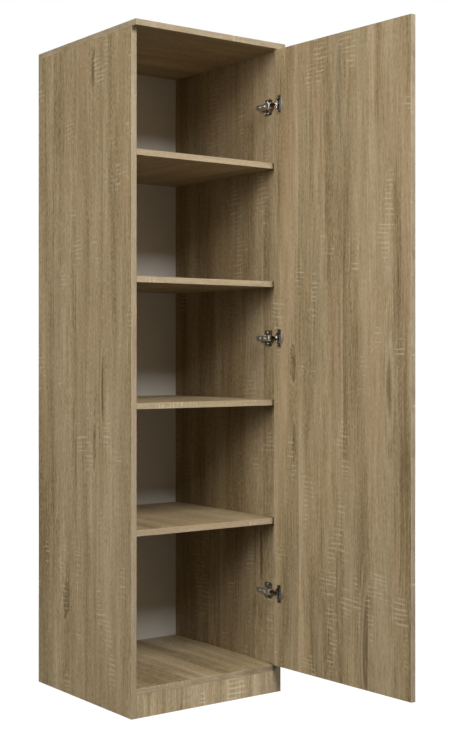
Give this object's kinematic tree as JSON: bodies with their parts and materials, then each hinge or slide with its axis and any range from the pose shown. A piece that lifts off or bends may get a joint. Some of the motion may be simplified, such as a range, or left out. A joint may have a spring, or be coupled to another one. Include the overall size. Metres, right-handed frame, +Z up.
{
  "type": "pantry cabinet",
  "caption": "Tall narrow storage cabinet with one hinged full-height door, open shelves behind it, an overhanging top and a low plinth.",
  "frame": {"origin": "on the floor, at the middle of the width, in the plane of the side panels' front edges", "axes": "+X to the right seen from the front, +Y from the front to the back, +Z up"},
  "size_m": [0.5093, 0.9884, 1.8],
  "materials": {
    "oak_laminate": "matt printed laminate",
    "oak_edge_band": "matt plastic edge band in wood print",
    "white_hardboard": "painted smooth",
    "beech": "raw fluted",
    "zinc_steel": "zinc plated",
    "zinc_alloy": "die cast",
    "brown_plastic": "matt",
    "nickel_steel": "nickel plated, satin",
    "bright_nickel": "nickel plated, bright"
  },
  "bodies": {
    "carcass": {"left_side_panel": "oak_laminate", "right_side_panel": "oak_laminate", "top_panel": "oak_laminate", "bottom_panel": "oak_laminate", "plinth_panel": "oak_laminate", "shelf_1": "oak_laminate", "shelf_2": "oak_laminate", "shelf_3": "oak_laminate", "shelf_4": "oak_laminate", "side_edge_bands": "oak_edge_band", "shelf_edge_bands": "oak_edge_band", "top_edge_bands": "oak_edge_band", "back_panel": "white_hardboard", "wood_dowels": "beech", "cam_bolts": "zinc_steel", "top_screws": "zinc_steel", "back_nails": "zinc_steel", "cam_fittings": "zinc_alloy", "top_screw_caps": "brown_plastic", "shelf_1_pins": "zinc_steel", "shelf_2_pins": "zinc_steel", "shelf_3_pins": "zinc_steel", "shelf_4_pins": "zinc_steel", "hinge_plate_top": "nickel_steel", "hinge_plate_screws_top": "zinc_steel", "hinge_arm_top": "nickel_steel", "hinge_arm_screws_top": "zinc_steel", "hinge_arm_pin_top": "nickel_steel", "hinge_plate_middle": "nickel_steel", "hinge_plate_screws_middle": "zinc_steel", "hinge_arm_middle": "nickel_steel", "hinge_arm_screws_middle": "zinc_steel", "hinge_arm_pin_middle": "nickel_steel", "hinge_plate_bottom": "nickel_steel", "hinge_plate_screws_bottom": "zinc_steel", "hinge_arm_bottom": "nickel_steel", "hinge_arm_screws_bottom": "zinc_steel", "hinge_arm_pin_bottom": "nickel_steel"},
    "hinge_levers": {"hinge_outer_lever_top": "bright_nickel", "hinge_inner_levers_top": "bright_nickel", "hinge_outer_lever_middle": "bright_nickel", "hinge_inner_levers_middle": "bright_nickel", "hinge_outer_lever_bottom": "bright_nickel", "hinge_inner_levers_bottom": "bright_nickel"},
    "door": {"door_panel": "oak_laminate", "door_edge_bands": "oak_edge_band", "hinge_cup_top": "nickel_steel", "hinge_cup_screws_top": "zinc_steel", "hinge_cup_pin_top": "nickel_steel", "hinge_cup_middle": "nickel_steel", "hinge_cup_screws_middle": "zinc_steel", "hinge_cup_pin_middle": "nickel_steel", "hinge_cup_bottom": "nickel_steel", "hinge_cup_screws_bottom": "zinc_steel", "hinge_cup_pin_bottom": "nickel_steel"}
  },
  "joints": [
    {"name": "lever_turn", "type": "hinge", "parent": "carcass", "child": "hinge_levers", "pos_m": [0.214, 0.0104, 0.984], "axis": [0, 0, 1], "range_deg": [-1, 44.85]},
    {"name": "door_turn", "type": "hinge", "parent": "hinge_levers", "child": "door", "pos_m": [0.22103, -0.01857, 0.984], "axis": [0, 0, 1], "range_deg": [-137.8, 2.96]}
  ],
  "couplings": [
    {"joint": "lever_turn", "follows": "door_turn", "ratio": -0.32511}
  ]
}
